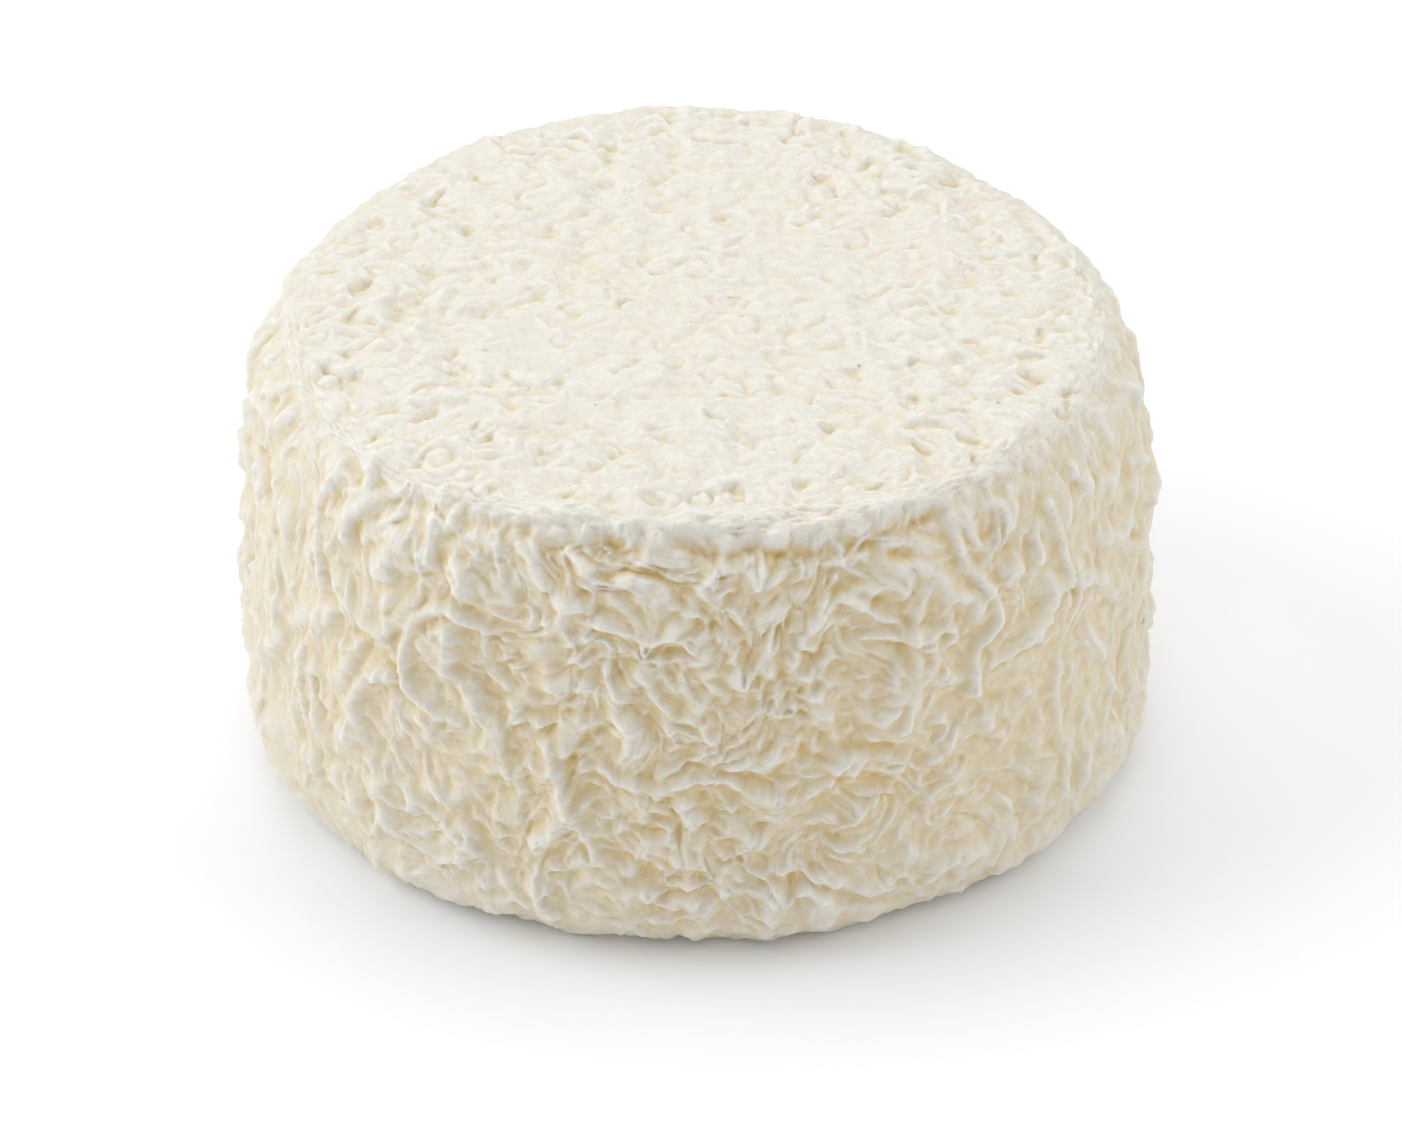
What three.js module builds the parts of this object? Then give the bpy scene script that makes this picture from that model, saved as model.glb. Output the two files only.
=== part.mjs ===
// A small soft-ripened cheese wheel with a wrinkled white rind, as one closed solid.
// Millimetres, +Z up. The origin is the centre of the flat base that the wheel rests on.
//
// The form is a squat drum with rounded edges, a little out of round, that leans in towards its top.
// The rind has lumps and folds: crests that wander, part and meet, with hollows between them. They are
// deep on the side and shallow on the top. A rolled lip follows the top's edge along the front, and a
// few long folds and hollows have a place of their own.
import * as THREE from "three";
import { ConvexGeometry } from "three/addons/geometries/ConvexGeometry.js";
import { mergeVertices } from "three/addons/utils/BufferGeometryUtils.js";

const { degToRad, euclideanModulo, lerp, radToDeg, smoothstep } = THREE.MathUtils;

// ---- Driving dimensions (mm) ----
const HEIGHT = 58.5;
const WIDEST = { radius: 56.4, level: 24 };
const SHOULDER = { radius: 53.7, across: 9.2, down: 7.8, lean: 0.2 }; // where the side turns into the top
const HEEL = { radius: 56.5, across: 7.5, up: 7.6 }; // where the side turns into the base
const ROUND = 0.5523; // handle length of a cubic curve that stands for a quarter of a circle

// Three broad lobes make the wheel out of round: their share of the radius, and the first one's bearing.
const LOBES = { count: 3, share: 0.019, bearing: degToRad(95) };
const SET_BACK = LOBES.share * WIDEST.radius; // brings the middle of the lobed outline back to the origin

// Lumps of curd under the rind: spacing and height.
const LUMPS = [
  { spacing: 24, height: 1.2, salt: 18 },
  { spacing: 11, height: 0.9, salt: 21 },
];

// Folds of the rind: crest to crest, height, how far one fold keeps its course, and how narrow a crest is.
const FOLDS = { wavelength: 8.5, height: 1.5, course: 7.5, narrowness: 1.2, salt: 161 };
const FOLD_FULLNESS = 2.2; // how soon a fold reaches its full height as the waves gain strength
const FOLD_MEAN = 0.26; // the share of a fold's height that its mean level takes up
const FOLD_WANDER = { spacing: 12, reach: 3, salt: 31 }; // how far the crests stray from straight
const TOP_SHARE = 0.28; // relief of the top against that of the side
const TOP_TURN = { side: 0.3, top: 0.95 }; // the upward part of the normal where each holds
const HEEL_SHARE = 0.45; // relief at the foot of the side, which its own weight has smoothed
const HEEL_LEVELS = { foot: 1, side: 12 };

// The rolled lip at the top's edge and the shallow trough inside it. They are strongest round a bearing
// (degrees), and elsewhere they have the given share of that.
const LIP = { radius: 49, width: 2, height: 1, spacing: 17, salt: 41 };
const TROUGH = { radius: 44.4, width: 3, depth: 0.4 };
const RIM = { bearing: 278, spread: 48, elsewhere: 0.2 };

// Long folds on the side, each as bearings (degrees) and levels (mm) that its crest passes through.
const LONG_FOLDS = [
  { height: 1.1, route: [[252, 30.5], [255, 22], [259.5, 13.5]] },
  { height: 0.8, route: [[233, 18.6], [240.5, 14], [245, 11], [249, 6.5]] },
  { height: 0.9, route: [[259, 27.5], [265, 26], [271, 27], [282, 24]] },
  { height: 0.8, route: [[246.5, 55.5], [250.5, 52], [256, 49]] },
  { height: 0.8, route: [[258.5, 47.5], [265, 45.5], [270, 50]] },
  { height: 0.8, route: [[263, 41.5], [268, 35.5], [272.5, 39.5]] },
  { height: 1.2, route: [[304, 55], [305, 50], [309, 42.5], [305.5, 38], [305, 33]] },
  { height: 0.9, route: [[299, 48], [297, 43], [297, 38], [295.5, 31]] },
  { height: 1.2, route: [[244, 44], [238, 45.5], [234, 41], [234.5, 33.5], [241, 31]] },
  { height: 0.8, route: [[319, 52], [321, 40], [318, 27], [321, 15]] },
  { height: 0.8, route: [[216, 50], [219, 38], [214, 24], [218, 12]] },
  { height: 0.8, route: [[20, 44], [33, 39], [48, 42]] },
  { height: 0.9, route: [[75, 18], [88, 26], [104, 22]] },
  { height: 0.8, route: [[128, 46], [133, 34], [129, 21]] },
  { height: 0.9, route: [[160, 16], [171, 25], [186, 21]] },
];
const LONG_FOLD_WIDTH = 1.9;
const LONG_FOLD_STEPS = 24;

// Hollows pressed into the wheel, and with a depth below zero swells: bearing (degrees), level, width.
const HOLLOWS = [
  { bearing: 209, level: 57, width: 11, depth: 1.7 },
  { bearing: 328, level: 5, width: 4, depth: 0.6 },
  { bearing: 248, level: 2, width: 4, depth: 0.5 },
  { bearing: 262, level: 38, width: 12, depth: 0.6 },
  { bearing: 18, level: 36, width: 12, depth: 0.8 },
  { bearing: 130, level: 26, width: 14, depth: 0.9 },
  { bearing: 214, level: 10, width: 14, depth: 0.7 },
  { bearing: 118, level: 56, width: 16, depth: -0.4 },
];

// Mesh: how many vertices, and how densely they cover each zone.
const VERTICES = 5750;
const ZONE_DENSITY = { top: 0.6, side: 1.35, base: 0.12 };
const OUTLINE_STEPS = 900;
const GOLDEN_ANGLE = Math.PI * (3 - Math.sqrt(5));

const RIND_COLOUR = 0xeee9dc;

// ---- Lattice noise ----

const NOISE_GAIN = 1.6; // brings the noise to about -1 and 1

// A whole-number hash of a lattice point, as 32 unsigned bits.
function latticeHash(x, y, z, salt) {
  let h = Math.imul(x, 0x8da6b343) ^ Math.imul(y, 0xd8163841) ^ Math.imul(z, 0xcb1ab31f);
  h ^= Math.imul(salt, 0x9e3779b9);
  h = Math.imul(h ^ (h >>> 15), 0x2c1b3c6d);
  h = Math.imul(h ^ (h >>> 12), 0x297a2d39);
  return (h ^ (h >>> 15)) >>> 0;
}

// A point's lattice cell and its place inside it, in cells of the given spacing.
function cellOf(point, spacing) {
  const place = point.toArray().map((value) => value / spacing);
  const cell = place.map(Math.floor);
  return { cell, inside: place.map((value, axis) => value - cell[axis]) };
}

// Gradient noise between about -1 and 1, smooth, with lattice cells of the given spacing.
function noiseAt(point, spacing, salt) {
  const { cell, inside } = cellOf(point, spacing);
  const ease = inside.map((t) => t * t * t * (t * (t * 6 - 15) + 10));
  let sum = 0;
  for (let corner = 0; corner < 8; corner++) {
    const step = [corner & 1, (corner >> 1) & 1, corner >> 2];
    const hash = latticeHash(cell[0] + step[0], cell[1] + step[1], cell[2] + step[2], salt);
    let slope = 0;
    let weight = 1;
    for (let axis = 0; axis < 3; axis++) {
      const gradient = ((hash >>> (10 * axis)) & 1023) / 511.5 - 1;
      slope += gradient * (inside[axis] - step[axis]);
      weight *= step[axis] ? ease[axis] : 1 - ease[axis];
    }
    sum += weight * slope;
  }
  return sum * NOISE_GAIN;
}

// Waves that run along a surface. Each lattice cell holds one, at a random place, with a random
// course and phase, and it fades out a cell away. Returns the phase and the strength of their sum.
function wavesAt(point, normal, { wavelength, course, salt }) {
  const { cell, inside } = cellOf(point, course);
  const away = new THREE.Vector3();
  const direction = new THREE.Vector3();
  let [real, imaginary] = [0, 0];
  for (let neighbour = 0; neighbour < 27; neighbour++) {
    const step = [(neighbour % 3) - 1, (Math.floor(neighbour / 3) % 3) - 1, Math.floor(neighbour / 9) - 1];
    const place = step.map((value, axis) => cell[axis] + value);
    const random = (draw) => latticeHash(...place, salt + draw) / 2 ** 32;
    away.fromArray(step.map((value, axis) => inside[axis] - value - random(axis)));
    const fade = Math.max(0, 1 - away.lengthSq()) ** 3;
    const rise = 2 * random(3) - 1;
    const turn = 2 * Math.PI * random(4);
    direction.set(Math.cos(turn), Math.sin(turn), 0).multiplyScalar(Math.sqrt(1 - rise * rise)).setZ(rise);
    direction.projectOnPlane(normal).normalize();
    const phase = 2 * Math.PI * ((course / wavelength) * away.dot(direction) + random(5));
    real += fade * Math.cos(phase);
    imaginary += fade * Math.sin(phase);
  }
  return { phase: Math.atan2(imaginary, real), strength: Math.hypot(real, imaginary) };
}

// ---- The smooth form ----

// The outline from the top's centre to the base's centre, as radius and level.
function outlinePath() {
  const { radius, across, down, lean } = SHOULDER;
  const upper = HEIGHT - down - WIDEST.level;
  const lower = WIDEST.level - HEEL.up;
  const path = new THREE.Path().moveTo(0, HEIGHT).lineTo(radius - across, HEIGHT);
  path.bezierCurveTo(
    radius - across * (1 - ROUND), HEIGHT,
    radius - lean * ROUND * down, HEIGHT - down * (1 - ROUND),
    radius, HEIGHT - down,
  );
  path.bezierCurveTo(
    radius + (lean * upper) / 3, HEIGHT - down - upper / 3,
    WIDEST.radius, WIDEST.level + upper / 3,
    WIDEST.radius, WIDEST.level,
  );
  path.bezierCurveTo(
    WIDEST.radius, WIDEST.level - lower / 3,
    HEEL.radius, HEEL.up + lower / 3,
    HEEL.radius, HEEL.up,
  );
  path.bezierCurveTo(
    HEEL.radius, HEEL.up * (1 - ROUND),
    HEEL.radius - HEEL.across * (1 - ROUND), 0,
    HEEL.radius - HEEL.across, 0,
  );
  return path.lineTo(0, 0);
}

// Points along the outline and its outward normals. At each point, share is the part of the vertices
// that lies above it, and latitude is where it falls on a sphere that keeps the wheel's angles.
function outlineTable() {
  const points = outlinePath().getSpacedPoints(OUTLINE_STEPS);
  const normals = points.map((_, i) => {
    const along = points[Math.min(i + 1, OUTLINE_STEPS)].clone().sub(points[Math.max(i - 1, 0)]);
    return new THREE.Vector2(-along.y, along.x).normalize();
  });
  const shares = [0];
  const stretches = [0];
  for (let i = 1; i <= OUTLINE_STEPS; i++) {
    const [a, b] = [points[i - 1], points[i]];
    const [length, radius] = [a.distanceTo(b), (a.x + b.x) / 2];
    const zone = b.y <= 0 ? "base" : a.x < TROUGH.radius && a.y > WIDEST.level ? "top" : "side";
    shares.push(shares[i - 1] + ZONE_DENSITY[zone] * length * radius);
    stretches.push(stretches[i - 1] + length / radius);
  }
  const widest = stretches[points.findIndex((point) => point.y < WIDEST.level)];
  return {
    points,
    normals,
    shares: shares.map((share) => share / shares.at(-1)),
    latitudes: stretches.map((stretch) => Math.atan(Math.sinh(stretch - widest))),
  };
}

const OUTLINE = outlineTable();

// Where a rising table passes a value, as a step of the outline and the way along that step.
function findStep(table, value) {
  let step = 1;
  while (step < OUTLINE_STEPS && table[step] < value) step++;
  const way = (value - table[step - 1]) / (table[step] - table[step - 1]);
  return { step, way: THREE.MathUtils.clamp(way, 0, 1) };
}

// The outline's point and normal where a rising table passes a value.
function outlineAt(table, value) {
  const { step, way } = findStep(table, value);
  const point = OUTLINE.points[step - 1].clone().lerp(OUTLINE.points[step], way);
  const normal = OUTLINE.normals[step - 1].clone().lerp(OUTLINE.normals[step], way);
  return { point, normal: normal.normalize() };
}

// A point of the smooth form at a bearing, from its radius and level on the outline.
function formPoint(bearing, { x: radius, y: level }) {
  const lobed = radius * (1 + LOBES.share * Math.cos(LOBES.count * (bearing - LOBES.bearing)));
  return new THREE.Vector3(lobed * Math.cos(bearing), lobed * Math.sin(bearing) - SET_BACK, level);
}

// The point of the smooth form's side at a bearing in degrees and a level.
function sidePoint(bearing, level) {
  const depths = OUTLINE.points.map((point) => -point.y);
  return formPoint(degToRad(bearing), outlineAt(depths, -level).point);
}

// ---- Relief of the rind ----

const LONG_FOLD_LINES = LONG_FOLDS.map(({ height, route }) => ({
  height,
  line: new THREE.CatmullRomCurve3(
    route.map(([bearing, level]) => sidePoint(bearing, level)),
  ).getPoints(LONG_FOLD_STEPS),
}));
const HOLLOW_PLACES = HOLLOWS.map((hollow) => ({ ...hollow, place: sidePoint(hollow.bearing, hollow.level) }));

const bell = (distance, width) => Math.exp(-((distance / width) ** 2));

// Folds whose crests lie where the waves' phase is zero. They fade where the waves cancel out.
function wanderingFolds(point, normal) {
  const wandered = point.clone();
  ["x", "y", "z"].forEach((axis, i) => {
    wandered[axis] += FOLD_WANDER.reach * noiseAt(point, FOLD_WANDER.spacing, FOLD_WANDER.salt + i);
  });
  const { phase, strength } = wavesAt(wandered, normal, FOLDS);
  const crest = Math.exp(-FOLDS.narrowness * (1 - Math.cos(phase))) * Math.tanh(FOLD_FULLNESS * strength);
  return FOLDS.height * (crest - FOLD_MEAN);
}

function longFolds(point) {
  return LONG_FOLD_LINES.reduce((highest, { height, line }) => {
    const distance = Math.min(...line.map((place) => place.distanceTo(point)));
    return Math.max(highest, height * bell(distance, LONG_FOLD_WIDTH));
  }, 0);
}

// How far the lip and the trough stand out from a point of the smooth form.
function rim(point, radius) {
  if (point.z < WIDEST.level) return 0;
  const bearing = radToDeg(Math.atan2(point.y + SET_BACK, point.x));
  const turn = euclideanModulo(bearing - RIM.bearing + 180, 360) - 180;
  const lip = LIP.height * bell(radius - LIP.radius, LIP.width) * (0.8 + noiseAt(point, LIP.spacing, LIP.salt));
  const trough = TROUGH.depth * bell(radius - TROUGH.radius, TROUGH.width);
  return (lip - trough) * lerp(RIM.elsewhere, 1, bell(turn, RIM.spread));
}

// How far the rind stands out from a point of the smooth form, which is at a radius on the outline.
function relief(point, normal, radius) {
  const onTop = smoothstep(normal.z, TOP_TURN.side, TOP_TURN.top);
  const lumps = LUMPS.reduce((sum, lump) => sum + lump.height * noiseAt(point, lump.spacing, lump.salt), 0);
  const hollows = HOLLOW_PLACES.reduce((sum, { place, width, depth }) => {
    return sum + depth * bell(place.distanceTo(point), width);
  }, 0);
  const footing = lerp(HEEL_SHARE, 1, smoothstep(point.z, HEEL_LEVELS.foot, HEEL_LEVELS.side));
  const share = lerp(footing, TOP_SHARE, onTop);
  const folds = wanderingFolds(point, normal) + longFolds(point);
  return (lumps + folds) * share + rim(point, radius) - hollows;
}

// ---- The wheel ----

// Vertices spread evenly over the wheel by the golden angle, as they fall on the sphere.
function sphereVertices() {
  return Array.from({ length: VERTICES }, (_, i) => {
    const { step, way } = findStep(OUTLINE.shares, (i + 0.5) / VERTICES);
    const latitude = lerp(OUTLINE.latitudes[step - 1], OUTLINE.latitudes[step], way);
    return new THREE.Vector3().setFromSphericalCoords(1, Math.PI / 2 + latitude, i * GOLDEN_ANGLE);
  });
}

// The hull of the sphere's vertices gives well-shaped triangles. Each vertex then moves to its place
// on the smooth form, and out by the relief.
function wheelGeometry() {
  const hull = new ConvexGeometry(sphereVertices());
  hull.deleteAttribute("normal");
  const geometry = mergeVertices(hull, 1e-6);
  const position = geometry.getAttribute("position");
  for (let i = 0; i < position.count; i++) {
    const bearing = Math.atan2(position.getX(i), position.getZ(i));
    const { point, normal } = outlineAt(OUTLINE.latitudes, -Math.asin(position.getY(i)));
    const place = formPoint(bearing, point);
    if (point.y > 0) {
      const out = new THREE.Vector3(normal.x * Math.cos(bearing), normal.x * Math.sin(bearing), normal.y);
      place.addScaledVector(out, relief(place, out, point.x));
      place.z = Math.max(0, place.z);
    }
    position.setXYZ(i, place.x, place.y, place.z);
  }
  geometry.computeVertexNormals();
  return geometry;
}

const rind = new THREE.MeshStandardMaterial({ color: RIND_COLOUR, roughness: 0.6, metalness: 0 });
const wheel = new THREE.Mesh(wheelGeometry(), rind);
wheel.name = "cheese_wheel";

const cheese = new THREE.Group();
cheese.add(wheel);

export default cheese;
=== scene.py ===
"""A small soft-ripened cheese wheel with a wrinkled white rind, as it stands on a white table."""

import math

import bpy
import numpy as np
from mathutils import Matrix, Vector


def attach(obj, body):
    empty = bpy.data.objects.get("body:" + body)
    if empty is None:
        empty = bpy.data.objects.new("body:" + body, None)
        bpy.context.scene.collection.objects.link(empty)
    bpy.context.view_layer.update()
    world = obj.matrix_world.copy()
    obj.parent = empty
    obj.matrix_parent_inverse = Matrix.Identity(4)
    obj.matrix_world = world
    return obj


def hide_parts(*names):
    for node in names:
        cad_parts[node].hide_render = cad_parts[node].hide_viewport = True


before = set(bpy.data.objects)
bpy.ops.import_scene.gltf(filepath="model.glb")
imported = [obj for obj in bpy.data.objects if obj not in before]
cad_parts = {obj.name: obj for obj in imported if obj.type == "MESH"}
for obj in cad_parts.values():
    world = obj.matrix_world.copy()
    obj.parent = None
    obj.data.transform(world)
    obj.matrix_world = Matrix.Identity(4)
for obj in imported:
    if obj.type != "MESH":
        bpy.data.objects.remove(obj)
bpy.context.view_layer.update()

MM = 0.001

# ---- The wheel's form (mm), as in the part's source ----
HEIGHT = 58.5
WIDEST = {"radius": 56.4, "level": 24.0}
SHOULDER = {"radius": 53.7, "across": 9.2, "down": 7.8, "lean": 0.2}
HEEL = {"radius": 56.5, "across": 7.5, "up": 7.6}
ROUND = 0.5523  # handle length of a cubic curve that stands for a quarter of a circle
LOBES = {"count": 3, "share": 0.019, "bearing": math.radians(95)}
SET_BACK = LOBES["share"] * WIDEST["radius"]

LUMPS = [(24.0, 1.2, 18), (11.0, 0.9, 21)]  # spacing, height, salt
COARSE_FOLDS = {"wavelength": 8.5, "height": 1.35, "course": 7.5, "narrowness": 1.2, "salt": 161}
FOLD_MEAN = 0.26
FOLD_WANDER = {"spacing": 12.0, "reach": 3.0, "salt": 31}
TOP_SHARE = 0.28
HEEL_SHARE = 0.45
HEEL_LEVELS = (1, 12)  # where the foot's share grows to the whole
LIP = {"radius": 49.0, "width": 2.0, "height": 1.0, "spacing": 17.0, "salt": 41}
TROUGH = {"radius": 44.4, "width": 3.0, "depth": 0.4}
RIM = {"bearing": 278, "spread": 48, "elsewhere": 0.2}
# The lip's own thin edge, uneven all round: patches give its share's middle, swing, lowest and highest.
ROLL = {"radius": 49.6, "wander": 1.3, "width": 0.8, "height": 0.3, "spacing": 9, "salt": 44}
ROLL_PATCHES = (6, 45, (0.7, 1.8, 0, 1.8))  # spacing, salt, share
ROLLED = {"bearing": 272, "spread": 24, "extra": 0.4}  # where that edge stands out most
GROOVE = {"below": 1.8, "width": 0.7, "depth": 0.45}  # under that edge
LONG_FOLDS = [  # height, then bearings (degrees) and levels that the crest passes through
    (1.1, [(252, 30.5), (255, 22), (259.5, 13.5)]),
    (0.8, [(233, 18.6), (240.5, 14), (245, 11), (249, 6.5)]),
    (0.9, [(259, 27.5), (265, 26), (271, 27), (282, 24)]),
    (0.8, [(246.5, 55.5), (250.5, 52), (256, 49)]),
    (0.8, [(258.5, 47.5), (265, 45.5), (270, 50)]),
    (0.8, [(263, 41.5), (268, 35.5), (272.5, 39.5)]),
    (1.2, [(304, 55), (305, 50), (309, 42.5), (305.5, 38), (305, 33)]),
    (0.9, [(299, 48), (297, 43), (297, 38), (295.5, 31)]),
    (1.2, [(244, 44), (238, 45.5), (234, 41), (234.5, 33.5), (241, 31)]),
    (0.8, [(319, 52), (321, 40), (318, 27), (321, 15)]),
    (0.8, [(216, 50), (219, 38), (214, 24), (218, 12)]),
    (0.8, [(20, 44), (33, 39), (48, 42)]),
    (0.9, [(75, 18), (88, 26), (104, 22)]),
    (0.8, [(128, 46), (133, 34), (129, 21)]),
    (0.9, [(160, 16), (171, 25), (186, 21)]),
]
LONG_FOLD_WIDTH = 1.9
LONG_FOLD_CREST = 0.85  # the crest's own width, with the finer folds kept off it
LONG_FOLD_PATCHES = (5, 77, (1.0, 1.1, 0.3, 1.5))  # spacing, salt, share
LONG_FOLD_CLEARS = {"coarse": 0.5, "fine": 0.4}  # the share of the other folds that it takes away
HOLLOWS = [  # bearing (degrees), level, width, depth; a depth below zero is a swell
    (209, 57, 11, 1.7),
    (328, 5, 4, 0.6),
    (248, 2, 4, 0.5),
    (262, 38, 12, 0.6),
    (18, 36, 12, 0.8),
    (130, 26, 14, 0.9),
    (214, 10, 14, 0.7),
    (118, 56, 16, -0.4),
]

# ---- The rind's finer folds (mm) ----
# Their crests hang over: skew makes the lower flank steeper, lean moves the crest down over it.
MIDDLE_FOLDS = {"wavelength": 3.1, "height": 0.33, "course": 3.5, "narrowness": 1.5, "salt": 211}
MIDDLE_FOLDS |= {"skew": 0.4, "lean": 0.45}
FINE_FOLDS = {"wavelength": 1.6, "height": 0.17, "course": 1.9, "narrowness": 1.3, "salt": 221}
FINE_FOLDS |= {"skew": 0.3, "lean": 0.1}
SINK = 0.35  # lowers the side so that its crests, not its hollows, stand where the outline is
COARSE_DROOP = 0.3  # how far the coarse crests sag
# Where folds run upright: bearing, spread, share.
STRETCHES = [(208, 24, 0.35), (338, 26, 0.4), (90, 40, 0.3)]
STRONGEST = {"bearing": 265, "spread": 36, "elsewhere": 0.57}  # where the finer folds are at their deepest
# Thin ridges that wind: spacing, height, narrowness, salt.
THREADS = [(5.4, 0.7, 4.6, 71), (2.7, 0.62, 3.6, 73), (1.5, 0.2, 2.8, 75)]
THREAD_ROUND = 0.09  # rounds their crests
THREAD_PATCHES = {"spacing": 0.8, "share": (0.7, 1.3, 0, 1.6)}  # spacing as a share of the ridges' own
THREAD_MEAN = 0.5
THREAD_DROOP = 0.5
CURDS = [(2.6, 0.5, 91), (1.4, 0.24, 92)]  # rounded lumps with clefts between them: spacing, height, salt
CLEFT = 0.06  # rounds the clefts
NOISE_MEAN = 0.25  # a noise's mean distance from zero
CURDS_ON_TOP = {"height": 1.05, "closer": 1.2}
CURLS = {"spacing": 8.0, "turn": 1.0, "less_on_top": 0.85, "salt": 301}  # finer folds wind round these
CRUMPLES = [(4.2, 1.1, 35), (2.2, 0.4, 51)]  # how the finer folds stray: spacing, reach, salt
FINEST_CRUMPLE = (1.5, 0.4, 38)
TOP_CRUMPLE = (3.0, 0.5, 61)
FINE_PATCHES = (9, 81, (0.75, 0.9, 0.2, 1.5))  # spacing, salt, share
MOUNDS = [(9, 1.1, 97), (4.6, 0.7, 98)]  # of the top: spacing, height, salt
PITS = {"spacing": 5.0, "width": 0.24, "depth": 0.65, "salt": 82}  # short curved pits of the top
PIT_PATCHES = {"spacing": 4, "low": 0.05, "high": 0.35, "salt": 83}  # where there are any
TOP_DEPTH = {"centre": 0.75, "more": 0.36, "from": 15, "to": 45}  # the top's relief deepens outwards
RIM_SHARE_LESS = 0.25  # the side's finer relief is shallower where it turns over to the top
STRIATIONS = {"count": 5, "height": 0.05, "spacing": 2, "stray": 3, "salt": 3}  # faint, along the folds
LEAN_BLUR = 0.3  # keeps neighbouring crests from leaning through each other

# ---- The rind's colour and its painted light and shade (shares of the way from the crests' white to the deepest yellow; the paler crests are painted light, the yellow hollows painted shade) ----
PAINTED_SHADE_BEARING = {"bearing": 288, "spread": 62, "elsewhere": 0.68}  # painted shade: at this bearing, the front, the hollows are painted yellowest; the sides that the softboxes light are painted paler
SUNKEN = [(0.7, 1.4), (2.0, 0.2)]  # blurs of the relief (mm) and their weights
CAVITY_BASE = 0.3
# painted shade: how strongly sunkenness is painted yellow on the side, on the top and most of all on the
# shoulder under the rim
PAINTED_SHADE_GAIN = {"side": 0.48, "top": 0.42, "rim": 0.36, "rim_at": 0.5, "rim_spread": 0.3}
CAVITY_PATCHES = {"spacing": 13, "swing": 0.05, "salt": 66}
PAINTED_SIDE_SHADE = {"share": 0.25, "from": -15, "to": 25}  # painted shade: the whole side is painted yellower than the top, less so at the foot
# the ramp's colours: the paler crests are painted light, the yellows of the hollows painted shade
RIND_AND_PAINTED_SHADE_COLOURS = [(0, "#E6E5DD"), (0.3, "#E2DED4"), (0.5, "#E0D6BF"), (0.75, "#E0CDA3"), (1, "#DFC480")]
RUMPLES = {"spacing": 1.5, "depth": 0.32}  # mm

# ---- The grid ----
COLUMNS = 1300
GRID_STEP = 0.27  # mm between the rows of the top and the side
TRIANGLES = 198000


def smoothstep(value, low, high):
    """0 up to low, 1 from high, and 3t^2 - 2t^3 between them."""
    t = np.clip((value - low) / (high - low), 0, 1)
    return t * t * (3 - 2 * t)


def bell(distance, width):
    """exp(-(distance / width)^2)"""
    return np.exp(-((distance / width) ** 2))


# ---- Lattice noise ----


def lattice_hash(x, y, z, salt):
    """A whole-number hash of lattice points, as 32 unsigned bits."""
    x, y, z = ((np.asarray(v, np.int64) & 0xFFFFFFFF).astype(np.uint32) for v in (x, y, z))
    h = (x * np.uint32(0x8DA6B343)) ^ (y * np.uint32(0xD8163841)) ^ (z * np.uint32(0xCB1AB31F))
    h = h ^ np.uint32((salt * 0x9E3779B9) & 0xFFFFFFFF)
    h = (h ^ (h >> np.uint32(15))) * np.uint32(0x2C1B3C6D)
    h = (h ^ (h >> np.uint32(12))) * np.uint32(0x297A2D39)
    return h ^ (h >> np.uint32(15))


def lattice(points, spacing):
    """The lattice that covers the points: each point's place in its cell, a function that gives the
    flat index of a neighbouring cell, and the lattice's own coordinates."""
    place = points / spacing
    cell = np.floor(place).astype(np.int32)
    low = cell.reshape(-1, 3).min(0) - 1
    count = cell.reshape(-1, 3).max(0) - low + 3
    axes = np.meshgrid(*(np.arange(count[k]) + low[k] for k in range(3)), indexing="ij")
    inside = (place - cell).astype(np.float32)
    start = cell - low
    flat = (start[..., 0] * count[1] + start[..., 1]) * count[2] + start[..., 2]

    def neighbour(step):
        return flat + (step[0] * count[1] + step[1]) * count[2] + step[2]

    return inside, neighbour, axes


def noise(points, spacing, salt):
    """Gradient noise between about -1 and 1: at each corner of a lattice cell, a random slope times
    the way from that corner, blended by quintic weights."""
    inside, neighbour, axes = lattice(points, spacing)
    bits = lattice_hash(*axes, salt)
    slopes = [((bits >> np.uint32(10 * k)) & np.uint32(1023)) / 511.5 - 1 for k in range(3)]
    slopes = np.stack(slopes, -1).reshape(-1, 3).astype(np.float32)
    ease = inside**3 * (inside * (inside * 6 - 15) + 10)
    total = np.zeros(points.shape[:-1], np.float32)
    for corner in range(8):
        step = (corner & 1, (corner >> 1) & 1, corner >> 2)
        way = inside - np.array(step, np.float32)
        weight = 1
        for axis in range(3):
            weight = weight * (ease[..., axis] if step[axis] else 1 - ease[..., axis])
        total += weight * np.einsum("...k,...k->...", way, slopes[neighbour(step)])
    return total * 1.6


def stray(points, spacing, reach, salt):
    """The points moved by three noises, each along its own axis."""
    return points + reach * np.stack([noise(points, spacing, salt + k) for k in range(3)], -1)


def swirled(points, normals, spacing, turn, salt):
    """The points turned in the surface about random centres, one to a lattice cell, by a random share
    of the turn (radians). The turn fades as (1 - d^2)^3 with the distance d in cells."""
    inside, neighbour, axes = lattice(points, spacing)
    draws = [(lattice_hash(*axes, salt + k) / 2**32).reshape(-1).astype(np.float32) for k in range(4)]
    centres, spins = np.stack(draws[:3], -1), 2 * draws[3] - 1
    total = np.zeros(points.shape, np.float32)
    for k in range(27):
        step = np.array([k % 3 - 1, (k // 3) % 3 - 1, k // 9 - 1])
        cell = neighbour(step)
        away = inside - step.astype(np.float32) - centres[cell]
        fade = np.maximum(0, 1 - np.einsum("...k,...k->...", away, away)) ** 3
        total += (fade * spins[cell])[..., None] * away
    return points + turn * spacing * np.cross(normals, total)


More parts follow.
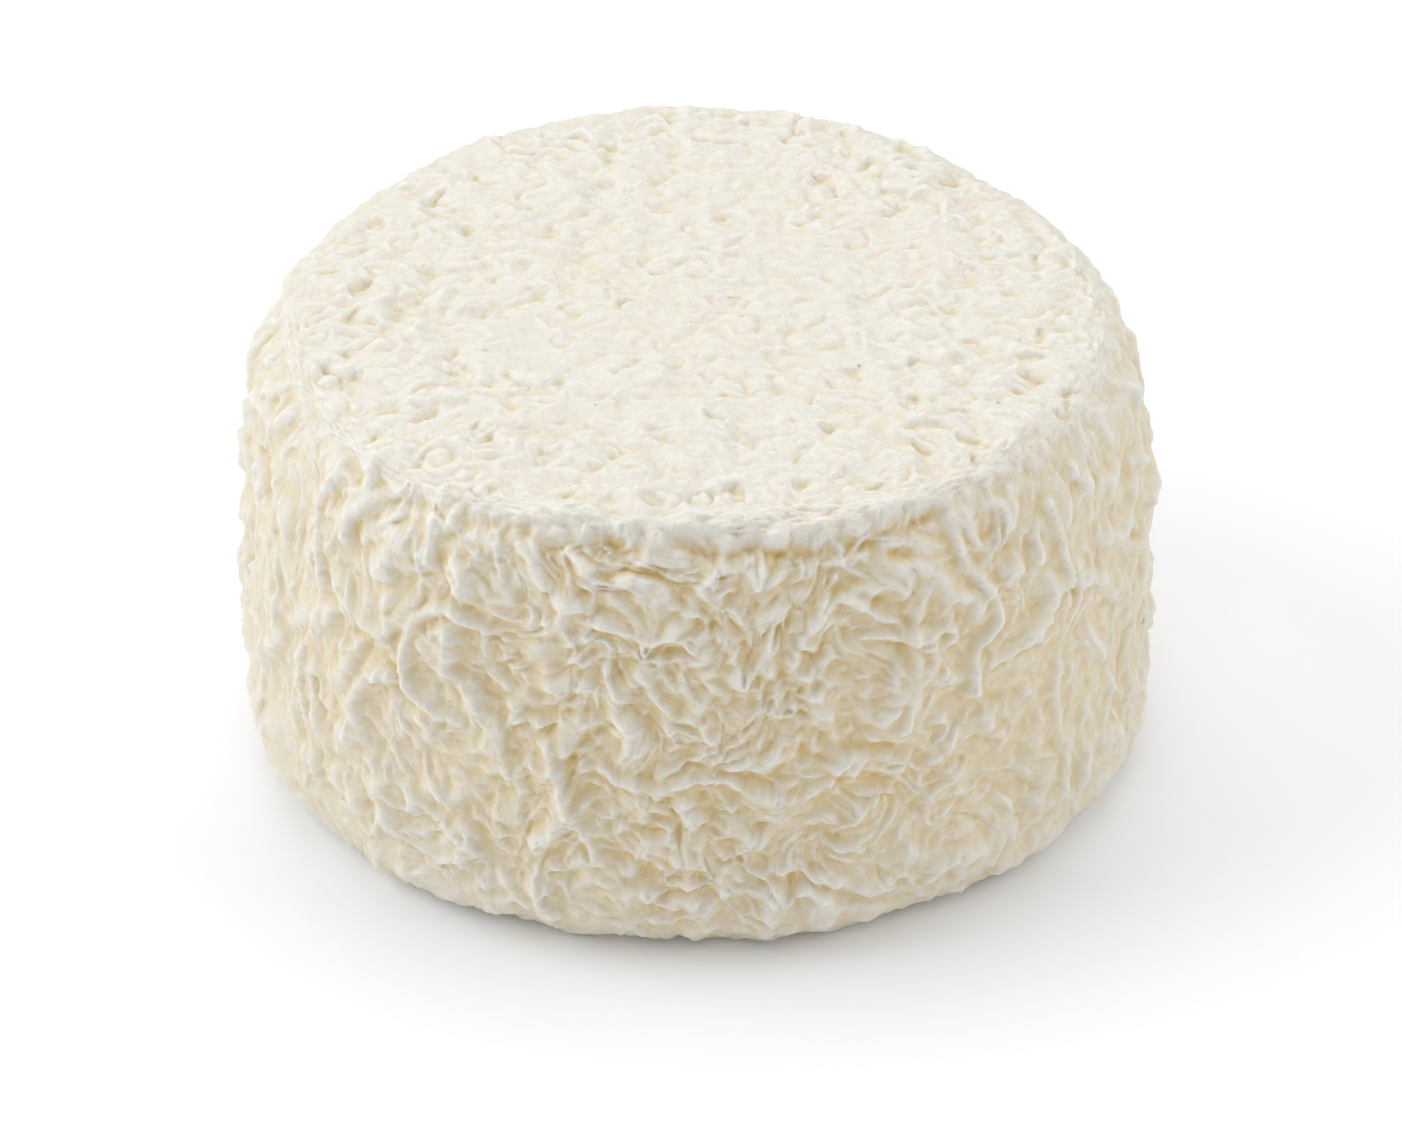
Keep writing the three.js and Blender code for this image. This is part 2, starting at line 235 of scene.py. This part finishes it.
def waves(points, normals, folds):
    """Sum of waves that run along the surface. Each lattice cell holds one, at a random place, with a
    random course and phase, and it fades as (1 - d^2)^3 with the distance d in cells. Returns the
    sum's phase and strength, and the direction in which the phase rises."""
    inside, neighbour, axes = lattice(points, folds["course"])
    draws = [lattice_hash(*axes, folds["salt"] + k) / 2**32 for k in range(6)]
    draws = [draw.reshape(-1).astype(np.float32) for draw in draws]
    centres = np.stack(draws[:3], -1)
    rise, turn = 2 * draws[3] - 1, 2 * np.pi * draws[4]
    if folds.get("lean"):
        rise = np.where(rise > 0.5, rise, -np.abs(rise))
    level = np.sqrt(1 - rise**2)
    courses = np.stack([level * np.cos(turn), level * np.sin(turn), rise], -1)
    turns = folds["course"] / folds["wavelength"]
    total = np.zeros(points.shape[:-1], np.complex64)
    heading = np.zeros(points.shape, np.complex64)
    for k in range(27):
        step = np.array([k % 3 - 1, (k // 3) % 3 - 1, k // 9 - 1])
        cell = neighbour(step)
        away = inside - step.astype(np.float32) - centres[cell]
        fade = np.maximum(0, 1 - np.einsum("...k,...k->...", away, away)) ** 3
        course = courses[cell]
        course = course - np.einsum("...k,...k->...", course, normals)[..., None] * normals
        course /= np.linalg.norm(course, axis=-1, keepdims=True) + 1e-6
        phase = 2 * np.pi * (turns * np.einsum("...k,...k->...", away, course) + draws[5][cell])
        wave = fade * np.exp(1j * phase).astype(np.complex64)
        total += wave
        heading += wave[..., None] * course
    heading = (np.conj(total)[..., None] * heading).real / (np.abs(total)[..., None] ** 2 + 1e-4)
    heading /= np.sqrt(np.sum(heading**2, axis=-1, keepdims=True) + 0.1)
    return np.angle(total), np.abs(total), heading.astype(np.float32)


def crests(phase, strength, folds):
    """1 on a crest, where the phase is zero, falling to 0 in the hollow; less where waves cancel out.
    Skew adds s cos(phase) - s to the phase, which makes the flank after the crest the steeper one."""
    skew = folds.get("skew", 0)
    bent = phase - skew * np.cos(phase) + skew
    return np.exp(-folds["narrowness"] * (1 - np.cos(bent))) * np.tanh(2.2 * strength)


# ---- The smooth form ----


def cubic(*handles):
    """Points of a cubic curve from its four handles."""
    t = np.linspace(0, 1, 200)[:, None]
    a, b, c, d = (np.array(handle, float) for handle in handles)
    return (1 - t) ** 3 * a + 3 * (1 - t) ** 2 * t * b + 3 * (1 - t) * t**2 * c + t**3 * d


def outline():
    """The outline from the top's centre to the base's edge, as radius and level: a flat top, then
    cubic curves for the shoulder, the upper side, the lower side and the heel."""
    radius, across, down, lean = (SHOULDER[k] for k in ("radius", "across", "down", "lean"))
    wide, middle = WIDEST["radius"], WIDEST["level"]
    foot, inward, up = HEEL["radius"], HEEL["across"], HEEL["up"]
    upper, lower = HEIGHT - down - middle, middle - up
    flat = np.stack([np.linspace(0, radius - across, 200), np.full(200, HEIGHT)], -1)
    shoulder = cubic(
        (radius - across, HEIGHT),
        (radius - across * (1 - ROUND), HEIGHT),
        (radius - lean * ROUND * down, HEIGHT - down * (1 - ROUND)),
        (radius, HEIGHT - down),
    )
    upper_side = cubic(
        (radius, HEIGHT - down),
        (radius + lean * upper / 3, HEIGHT - down - upper / 3),
        (wide, middle + upper / 3),
        (wide, middle),
    )
    lower_side = cubic((wide, middle), (wide, middle - lower / 3), (foot, up + lower / 3), (foot, up))
    heel = cubic(
        (foot, up),
        (foot, up * (1 - ROUND)),
        (foot - inward * (1 - ROUND), 0),
        (foot - inward, 0),
    )
    return np.concatenate([flat, shoulder[1:], upper_side[1:], lower_side[1:], heel[1:]])


def form_points(bearing, radius, level):
    """Points of the smooth form: the radius swells at the three lobes, and the whole is set back."""
    lobed = radius * (1 + LOBES["share"] * np.cos(LOBES["count"] * (bearing - LOBES["bearing"])))
    return np.stack(
        np.broadcast_arrays(lobed * np.cos(bearing), lobed * np.sin(bearing) - SET_BACK, level), -1
    )


def side_point(bearing, level):
    """The point of the smooth side at a bearing (degrees) and a level."""
    line = outline()
    line = line[len(line) // 5 :]
    radius = np.interp(-level, -line[:, 1], line[:, 0])
    return form_points(math.radians(bearing), radius, level)


def smooth_grid():
    """A grid over the top and the side: bearings one way, equal steps along the outline the other."""
    line = outline()
    length = np.concatenate([[0], np.cumsum(np.linalg.norm(np.diff(line, axis=0), axis=1))])
    rows = int(length[-1] / GRID_STEP)
    at = np.linspace(0, length[-1], rows + 1)[1:]
    radius, level = (np.interp(at, length, line[:, k]) for k in (0, 1))
    slope = np.gradient(line, axis=0)
    out, up = (np.interp(at, length, s) for s in (-slope[:, 1], slope[:, 0]))
    size = np.hypot(out, up)
    out, up = out / size, up / size
    bearing = np.linspace(0, 2 * np.pi, COLUMNS, endpoint=False)[None, :]
    points = form_points(bearing, radius[:, None], level[:, None])
    normals = np.stack(
        np.broadcast_arrays(out[:, None] * np.cos(bearing), out[:, None] * np.sin(bearing), up[:, None]), -1
    )
    return points.astype(np.float32), normals.astype(np.float32), radius[:, None].astype(np.float32)


# ---- Relief of the rind ----


def smooth_curve(route, steps=24):
    """A Catmull-Rom curve through the route's points."""
    route = np.array([2 * route[0] - route[1], *route, 2 * route[-1] - route[-2]])
    t = np.linspace(0, 1, steps)[:, None]
    pieces = []
    for a, b, c, d in zip(route, route[1:], route[2:], route[3:]):
        pieces.append(
            0.5 * (2 * b + (c - a) * t + (2 * a - 5 * b + 4 * c - d) * t**2 + (3 * b - a - 3 * c + d) * t**3)
        )
    return np.concatenate(pieces)


def long_folds(points, width):
    """The highest of the long folds at each point: a bell of the distance from the fold's crest."""
    highest = np.zeros(points.shape[:-1], np.float32)
    for height, route in LONG_FOLDS:
        crest = smooth_curve([side_point(bearing, level) for bearing, level in route])[::2]
        near = np.all((points > crest.min(0) - 6) & (points < crest.max(0) + 6), axis=-1)
        distance = np.min(np.linalg.norm(points[near][:, None] - crest[None], axis=-1), axis=1)
        highest[near] = np.maximum(highest[near], height * bell(distance, width))
    return highest


def turn_from(bearing, centre):
    """The angle from a centre to a bearing, both in degrees, between -180 and 180."""
    return (bearing - centre + 180) % 360 - 180


def bearing_of(points):
    """The bearing of each point from the wheel's axis, in degrees."""
    return np.degrees(np.arctan2(points[..., 1] + SET_BACK, points[..., 0]))


def strength_at(bearing, where):
    """1 at the bearing of the strongest place, falling as a bell to the share it has elsewhere."""
    near = bell(turn_from(bearing, where["bearing"]), where["spread"])
    return where["elsewhere"] + (1 - where["elsewhere"]) * near


def share_from_noise(points, spacing, salt, share):
    """A share that changes from place to place: the middle plus the swing times a noise, kept between
    the lowest and the highest."""
    middle, swing, lowest, highest = share
    return np.clip(middle + swing * noise(points, spacing, salt), lowest, highest)


def top_edge(points, radius, bearing):
    """The relief round the top's edge: a bell of the distance across it for each of the lip, the trough
    inside it, the lip's thin roll and the groove under the roll. It is strongest along the front."""
    lip = LIP["height"] * bell(radius - LIP["radius"], LIP["width"])
    lip = lip * (0.8 + noise(points, LIP["spacing"], LIP["salt"]))
    trough = TROUGH["depth"] * bell(radius - TROUGH["radius"], TROUGH["width"])
    off_roll = radius - ROLL["radius"] - ROLL["wander"] * noise(points, ROLL["spacing"], ROLL["salt"])
    roll = ROLL["height"] * bell(off_roll, ROLL["width"])
    groove = GROOVE["depth"] * bell(off_roll - GROOVE["below"], GROOVE["width"])
    uneven = share_from_noise(points, *ROLL_PATCHES)
    uneven = uneven + ROLLED["extra"] * bell(turn_from(bearing, ROLLED["bearing"]), ROLLED["spread"])
    edge = (lip - trough + (roll - groove) * uneven) * strength_at(bearing, RIM)
    return np.where(points[..., 2] > WIDEST["level"], edge, 0)


def drawn_upright(points, radius, bearing):
    """The points moved towards half height by the share of each upright stretch, so that what is worked
    out from them is drawn upright there."""
    upright = sum(part * bell(turn_from(bearing, at), spread) for at, spread, part in STRETCHES)
    drawn = points.copy()
    drawn[..., 2] -= upright * smoothstep(radius, 28, 53) * (points[..., 2] - HEIGHT / 2)
    return drawn


def winding_threads(points, crumpled):
    """Thin ridges along the lines where a noise is zero: exp(-narrowness * distance from zero), rounded
    at the crest, summed over three spacings, each patchy in its own way."""
    total = 0
    for spacing, height, narrowness, salt in THREADS:
        away = np.sqrt(noise(crumpled, spacing, salt) ** 2 + THREAD_ROUND**2) - THREAD_ROUND
        apart = THREAD_PATCHES["spacing"] * spacing
        patches = share_from_noise(points, apart, salt + 1, THREAD_PATCHES["share"])
        total = total + height * np.exp(-narrowness * away) * patches
    return total


def curd_lumps(points):
    """Rounded lumps: a noise's distance from zero, which leaves clefts where it is zero, rounded."""
    return sum(
        height * (np.sqrt(noise(points, spacing, salt) ** 2 + CLEFT**2) - NOISE_MEAN)
        for spacing, height, salt in CURDS
    )


def top_relief(points, crumpled, curds, radius):
    """Mounds and curds less the pits, which lie where one noise is near zero and another is high. All of
    it deepens from the centre outwards."""
    mounds = sum(
        height * (np.abs(noise(crumpled, spacing, salt)) - NOISE_MEAN) for spacing, height, salt in MOUNDS
    )
    pits = PITS["depth"] * bell(noise(crumpled, PITS["spacing"], PITS["salt"]), PITS["width"])
    here = noise(points, PIT_PATCHES["spacing"], PIT_PATCHES["salt"])
    pits = pits * smoothstep(here, PIT_PATCHES["low"], PIT_PATCHES["high"])
    deeper = TOP_DEPTH["centre"] + TOP_DEPTH["more"] * smoothstep(radius, TOP_DEPTH["from"], TOP_DEPTH["to"])
    return (mounds - pits + CURDS_ON_TOP["height"] * curds) * deeper


def relief(points, normals, radius):
    """How far the rind stands out, and how far it leans over. The part's own lumps, folds, edge and
    hollows come first; the side's finer folds and the top's finer relief are blended by how far the
    smooth form turns upwards."""
    on_top = smoothstep(normals[..., 2], 0.3, 0.95)
    flat = smoothstep(normals[..., 2], 0.75, 0.99)
    foot = HEEL_SHARE + (1 - HEEL_SHARE) * smoothstep(points[..., 2], *HEEL_LEVELS)
    share = foot * (1 - on_top) + TOP_SHARE * on_top
    bearing = bearing_of(points)
    lumps = sum(height * noise(points, spacing, salt) for spacing, height, salt in LUMPS)
    hollows = sum(
        depth * bell(np.linalg.norm(points - side_point(at, level), axis=-1), width)
        for at, level, width, depth in HOLLOWS
    )

    once = stray(points, FOLD_WANDER["spacing"], FOLD_WANDER["reach"], FOLD_WANDER["salt"])
    drawn = drawn_upright(once, radius, bearing)
    curled = swirled(drawn, normals, CURLS["spacing"], CURLS["turn"], CURLS["salt"])
    twice = drawn + (curled - drawn) * (1 - CURLS["less_on_top"] * flat)[..., None]
    for spacing, reach, salt in CRUMPLES:
        twice = stray(twice, spacing, reach, salt)
    thrice = stray(twice, *FINEST_CRUMPLE)
    eased = stray(points, *TOP_CRUMPLE)

    near_long = long_folds(points, LONG_FOLD_WIDTH)
    long = long_folds(points, LONG_FOLD_CREST) * share_from_noise(points, *LONG_FOLD_PATCHES)
    phase, strength, _ = waves(once, normals, COARSE_FOLDS)
    crest = crests(phase, strength, COARSE_FOLDS) * (1 - LONG_FOLD_CLEARS["coarse"] * near_long)
    common = lumps + long + COARSE_FOLDS["height"] * (crest - FOLD_MEAN)
    threads = winding_threads(points, twice)
    down = -normals * normals[..., 2:]
    down[..., 2] += 1
    lean = -(COARSE_DROOP * (crest + long) + THREAD_DROOP * threads)[..., None] * down

    phase, strength, heading = waves(twice, normals, MIDDLE_FOLDS)
    crest = crests(phase, strength, MIDDLE_FOLDS)
    lean = lean + MIDDLE_FOLDS["lean"] * crest[..., None] * heading
    side = MIDDLE_FOLDS["height"] * (crest - FOLD_MEAN) + threads - THREAD_MEAN
    strayed = STRIATIONS["stray"] * noise(points, STRIATIONS["spacing"], STRIATIONS["salt"])
    side = side + STRIATIONS["height"] * np.cos(STRIATIONS["count"] * phase + strayed)
    phase, strength, heading = waves(thrice, normals, FINE_FOLDS)
    crest = crests(phase, strength, FINE_FOLDS) * share_from_noise(points, *FINE_PATCHES)
    lean = lean + FINE_FOLDS["lean"] * crest[..., None] * heading
    side = side + FINE_FOLDS["height"] * (crest - FOLD_MEAN)

    curds = curd_lumps(twice + (eased * CURDS_ON_TOP["closer"] - twice) * flat[..., None])
    strong = strength_at(bearing, STRONGEST)
    kept = (1 - LONG_FOLD_CLEARS["fine"] * near_long) * (1 - RIM_SHARE_LESS * on_top)
    side = (side + curds) * kept * strong - SINK
    finer = side * foot * (1 - flat) + top_relief(points, eased, curds, radius) * flat
    stand = common * share + finer + top_edge(points, radius, bearing) - hollows
    return stand, lean * (share * strong)[..., None]


def blurred(values, radius, spread):
    """Values on the grid blurred over a spread in mm: a Gaussian along the bearing through the Fourier
    transform, as wide on every row, then the same Gaussian along the rows."""
    waves_per_turn = np.fft.rfftfreq(COLUMNS, 1 / COLUMNS)
    width = waves_per_turn * spread / np.maximum(radius, 0.5)
    values = np.fft.irfft(np.fft.rfft(values, axis=1) * np.exp(-0.5 * width**2), COLUMNS, axis=1)
    reach = int(3 * spread / GRID_STEP)
    kernel = np.exp(-0.5 * (np.arange(-reach, reach + 1) * GRID_STEP / spread) ** 2)
    padded = np.pad(values, ((reach, reach), (0, 0)), "edge")
    rows = len(values)
    return sum(k * padded[i : i + rows] for i, k in enumerate(kernel / kernel.sum()))


def tone_and_painted_shade_of(points, normals, radius, stand):
    """How yellow each point is painted, from 0 on a crest to 1 in a deep hollow: the rind's own tone with
    faint broad patches, plus painted light and shade. The painted shade is how sunken the point is, which is
    blurs of the relief less the relief itself, times a gain that is highest at the rim and at the bearing of
    the strongest painted shade, plus a painted shade for the side as a whole."""
    upward = normals[..., 2]
    # painted shade: yellower the deeper a point lies below the blurred relief, paler on crests that stand
    # above it
    sunken = sum(weight * (blurred(stand, radius, spread) - stand) for spread, weight in SUNKEN)
    # painted shade by bearing: weaker on the lit sides, full strength on the top
    painted_shade_reach = strength_at(bearing_of(points), PAINTED_SHADE_BEARING)
    painted_shade_reach = painted_shade_reach + (1 - painted_shade_reach) * smoothstep(upward, 0.5, 0.9)
    gain = PAINTED_SHADE_GAIN["side"] + (PAINTED_SHADE_GAIN["top"] - PAINTED_SHADE_GAIN["side"]) * upward
    gain = gain + PAINTED_SHADE_GAIN["rim"] * bell(upward - PAINTED_SHADE_GAIN["rim_at"], PAINTED_SHADE_GAIN["rim_spread"])
    patches = CAVITY_PATCHES["swing"] * noise(points, CAVITY_PATCHES["spacing"], CAVITY_PATCHES["salt"])
    # painted shade over the whole side, fading towards the foot
    side = PAINTED_SIDE_SHADE["share"] * (1 - upward)
    side = side * smoothstep(points[..., 2], PAINTED_SIDE_SHADE["from"], PAINTED_SIDE_SHADE["to"])
    return np.clip(CAVITY_BASE + patches + painted_shade_reach * (gain * sunken + side), 0, 1)


# ---- Meshes ----


def mesh_piece(name, vertices, faces, attribute=None):
    """A smooth-shaded mesh from arrays of vertices (metres) and of faces, which may carry the rind's tone
    with its painted light and shade as an attribute.
    """
    mesh = bpy.data.meshes.new(name)
    mesh.vertices.add(len(vertices))
    mesh.vertices.foreach_set("co", vertices.astype(np.float32).ravel())
    corners = np.concatenate([f.ravel() for f in faces])
    totals = np.concatenate([np.full(len(f), f.shape[1]) for f in faces])
    mesh.loops.add(len(corners))
    mesh.loops.foreach_set("vertex_index", corners)
    mesh.polygons.add(len(totals))
    mesh.polygons.foreach_set("loop_start", np.concatenate([[0], np.cumsum(totals)[:-1]]))
    mesh.polygons.foreach_set("loop_total", totals)
    mesh.polygons.foreach_set("use_smooth", np.ones(len(totals), bool))
    mesh.update(calc_edges=True)
    if attribute is not None:
        layer = mesh.attributes.new("tone_and_painted_shade", "FLOAT", "POINT")
        layer.data.foreach_set("value", attribute.astype(np.float32).ravel())
    piece = bpy.data.objects.new(name, mesh)
    bpy.context.scene.collection.objects.link(piece)
    return piece


def thinned(piece, faces):
    """The piece's mesh collapsed to about so many triangles, with nothing below the table."""
    thin = piece.modifiers.new("thin", "DECIMATE")
    thin.ratio = TRIANGLES / faces
    depsgraph = bpy.context.evaluated_depsgraph_get()
    mesh = bpy.data.meshes.new_from_object(piece.evaluated_get(depsgraph), depsgraph=depsgraph)
    places = np.empty(3 * len(mesh.vertices), np.float32)
    mesh.vertices.foreach_get("co", places)
    places[2::3] = np.maximum(places[2::3], 0)
    mesh.vertices.foreach_set("co", places)
    mesh.polygons.foreach_set("use_smooth", np.ones(len(mesh.polygons), bool))
    piece.modifiers.clear()
    piece.data = mesh


def wheel():
    """The grid of the smooth form, each point moved out along its normal by the relief and over by the
    lean, closed at the top's centre and by a flat base, then thinned."""
    points, normals, radius = smooth_grid()
    stand, lean = relief(points, normals, radius)
    lean = np.stack([blurred(lean[..., k], radius, LEAN_BLUR) for k in range(3)], -1)
    tone_and_painted_shade = tone_and_painted_shade_of(points, normals, radius, stand)
    moved = points + normals * stand[..., None] + lean
    moved[..., 2] = np.maximum(moved[..., 2], 0)
    moved[-1, :, 2] = 0
    rows, columns = stand.shape
    base = np.arange(rows * columns).reshape(rows, columns)
    across = np.roll(base, -1, axis=1)
    quads = np.stack([base[:-1], base[1:], across[1:], across[:-1]], -1).reshape(-1, 4)
    top, bottom = rows * columns, rows * columns + 1
    cap = np.stack([np.full(columns, top), base[0], across[0]], -1)
    floor = np.stack([np.full(columns, bottom), across[-1], base[-1]], -1)
    centre = moved[0].mean(0)
    vertices = np.concatenate([moved.reshape(-1, 3), [centre, [0, 0, 0]]]) * MM
    tone_and_painted_shade = np.concatenate([tone_and_painted_shade.ravel(), [0, 0]])
    piece = mesh_piece("wrinkled_wheel", vertices, [quads, cap, floor], tone_and_painted_shade)
    thinned(piece, 2 * len(quads) + 2 * columns)
    return piece


# ---- Materials ----


def linear(hex_colour):
    """A colour's linear values from its sRGB hex."""
    parts = [int(hex_colour[i : i + 2], 16) / 255 for i in (1, 3, 5)]
    return [p / 12.92 if p <= 0.04045 else ((p + 0.055) / 1.055) ** 2.4 for p in parts] + [1]


def node(tree, kind, settings=None, links=None):
    """Adds a node, sets its sockets and properties, and links its inputs."""
    made = tree.nodes.new(kind)
    for key, value in (settings or {}).items():
        if isinstance(key, int) or key in made.inputs:
            made.inputs[key].default_value = value
        else:
            setattr(made, key, value)
    for key, source in (links or {}).items():
        tree.links.new(source, made.inputs[key])
    return made


def rind_material():
    """The bloomy rind of a soft-ripened cheese: a thin felt of white mould, grown over curd. Its colour is
    read from the tone and painted shade attribute: creamy white crests, painted a little paler as painted
    light, and pale yellow hollows, which are painted shade. It has a faint moist sheen, and light that goes
    a little way in softens every edge. The curd's finest rumples, 1.5 mm apart, are bump."""
    material = bpy.data.materials.new("bloomy rind with painted shade")
    material.use_nodes = True
    tree = material.node_tree
    tree.nodes.clear()
    # reads the rind's tone with its painted light on the crests and painted shade in the hollows
    tone_and_painted_shade = node(tree, "ShaderNodeAttribute", {"attribute_name": "tone_and_painted_shade"})
    ramp = node(tree, "ShaderNodeValToRGB", links={0: tone_and_painted_shade.outputs["Fac"]})
    ramp.color_ramp.elements[0].color = linear(RIND_AND_PAINTED_SHADE_COLOURS[0][1])
    ramp.color_ramp.elements[1].color = linear(RIND_AND_PAINTED_SHADE_COLOURS[-1][1])
    for shade_share, colour in RIND_AND_PAINTED_SHADE_COLOURS[1:-1]:
        ramp.color_ramp.elements.new(shade_share).color = linear(colour)
    place = node(tree, "ShaderNodeTexCoord")
    rumple = node(
        tree,
        "ShaderNodeTexNoise",
        {"Scale": 1 / (RUMPLES["spacing"] * MM), "Detail": 2.0, "Roughness": 0.6, "Distortion": 0.5},
        {"Vector": place.outputs["Object"]},
    )
    centred = node(tree, "ShaderNodeMath", {"operation": "SUBTRACT", 1: 0.5}, {0: rumple.outputs["Fac"]})
    clefts = node(tree, "ShaderNodeMath", {"operation": "ABSOLUTE"}, {0: centred.outputs[0]})
    bump = node(
        tree,
        "ShaderNodeBump",
        {"Strength": 1.0, "Distance": RUMPLES["depth"] * MM},
        {"Height": clefts.outputs[0]},
    )
    surface = node(
        tree,
        "ShaderNodeBsdfPrincipled",
        {
            "Roughness": 0.5,
            "IOR": 1.42,
            "Subsurface Weight": 1.0,
            "Subsurface Radius": (1.0, 0.75, 0.42),
            "Subsurface Scale": 0.7 * MM,
        },
        {"Base Color": ramp.outputs["Color"], "Normal": bump.outputs["Normal"]},
    )
    node(tree, "ShaderNodeOutputMaterial", links={"Surface": surface.outputs[0]})
    return material


def table_material():
    """Matt white laminate: even and very pale, with no clear reflection."""
    material = bpy.data.materials.new("white table")
    material.use_nodes = True
    tree = material.node_tree
    tree.nodes.clear()
    surface = node(
        tree,
        "ShaderNodeBsdfPrincipled",
        {"Base Color": linear("#FBFCFF"), "Roughness": 0.7},
    )
    node(tree, "ShaderNodeOutputMaterial", links={"Surface": surface.outputs[0]})
    return material


# ---- Stage ----


def table():
    reach = 2.0
    corners = np.array([(-reach, -reach, 0), (reach, -reach, 0), (reach, reach, 0), (-reach, reach, 0)])
    piece = mesh_piece("table", corners, [np.array([[0, 1, 2, 3]])])
    piece.data.materials.append(table_material())


def area_light(name, place, size, power, colour):
    """A round softbox that faces the wheel."""
    light = bpy.data.lights.new(name, "AREA")
    light.shape = "DISK"
    light.size = size
    light.energy = power
    light.color = linear(colour)[:3]
    lamp = bpy.data.objects.new(name, light)
    lamp.location = place
    lamp.rotation_euler = (-Vector(place)).to_track_quat("-Z", "Y").to_euler()
    bpy.context.scene.collection.objects.link(lamp)


def lights():
    world = bpy.data.worlds.new("studio")
    bpy.context.scene.world = world
    world.use_nodes = True
    background = world.node_tree.nodes["Background"]
    background.inputs["Color"].default_value = linear("#FFFFFF")
    background.inputs["Strength"].default_value = 0.385
    area_light("softbox left", (-0.82, 0.0, 0.57), 0.9, 5.55, "#FAFCFF")
    area_light("softbox right", (0.82, 0.0, 0.57), 0.9, 3.2, "#FFFFFF")
    area_light("softbox front", (0.0, -0.82, 0.57), 0.9, 1.25, "#FFFFFF")
    area_light("softbox top", (0.0, 0.42, 0.91), 1.1, 4.1, "#FFFFFF")
    bpy.context.scene.view_settings.view_transform = "Standard"


def camera():
    """Looks down on the wheel's front at the angle and distance that give its proportions."""
    image_width, image_height = 1402, 1122
    focal = 4574  # pixels
    distance = 10 * 57 * MM
    elevation = math.radians(33.13)
    centre_x, centre_y = 695.3, 499.6  # pixel where the wheel's centre falls
    data = bpy.data.cameras.new("camera")
    data.sensor_width = 36
    data.lens = focal * data.sensor_width / image_width
    data.shift_x = (image_width / 2 - centre_x) / image_width
    data.shift_y = (centre_y - image_height / 2) / image_width
    back = Vector((0, -math.cos(elevation), math.sin(elevation)))
    camera = bpy.data.objects.new("camera", data)
    camera.location = Vector((0, -SET_BACK * MM, HEIGHT / 2 * MM)) + back * distance
    camera.rotation_euler = (-back).to_track_quat("-Z", "Y").to_euler()
    bpy.context.scene.collection.objects.link(camera)
    bpy.context.scene.camera = camera


camera()
lights()
table()
cheese = wheel()
cheese.data.materials.clear()
cheese.data.materials.append(rind_material())
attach(cheese, "root")
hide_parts("cheese_wheel")
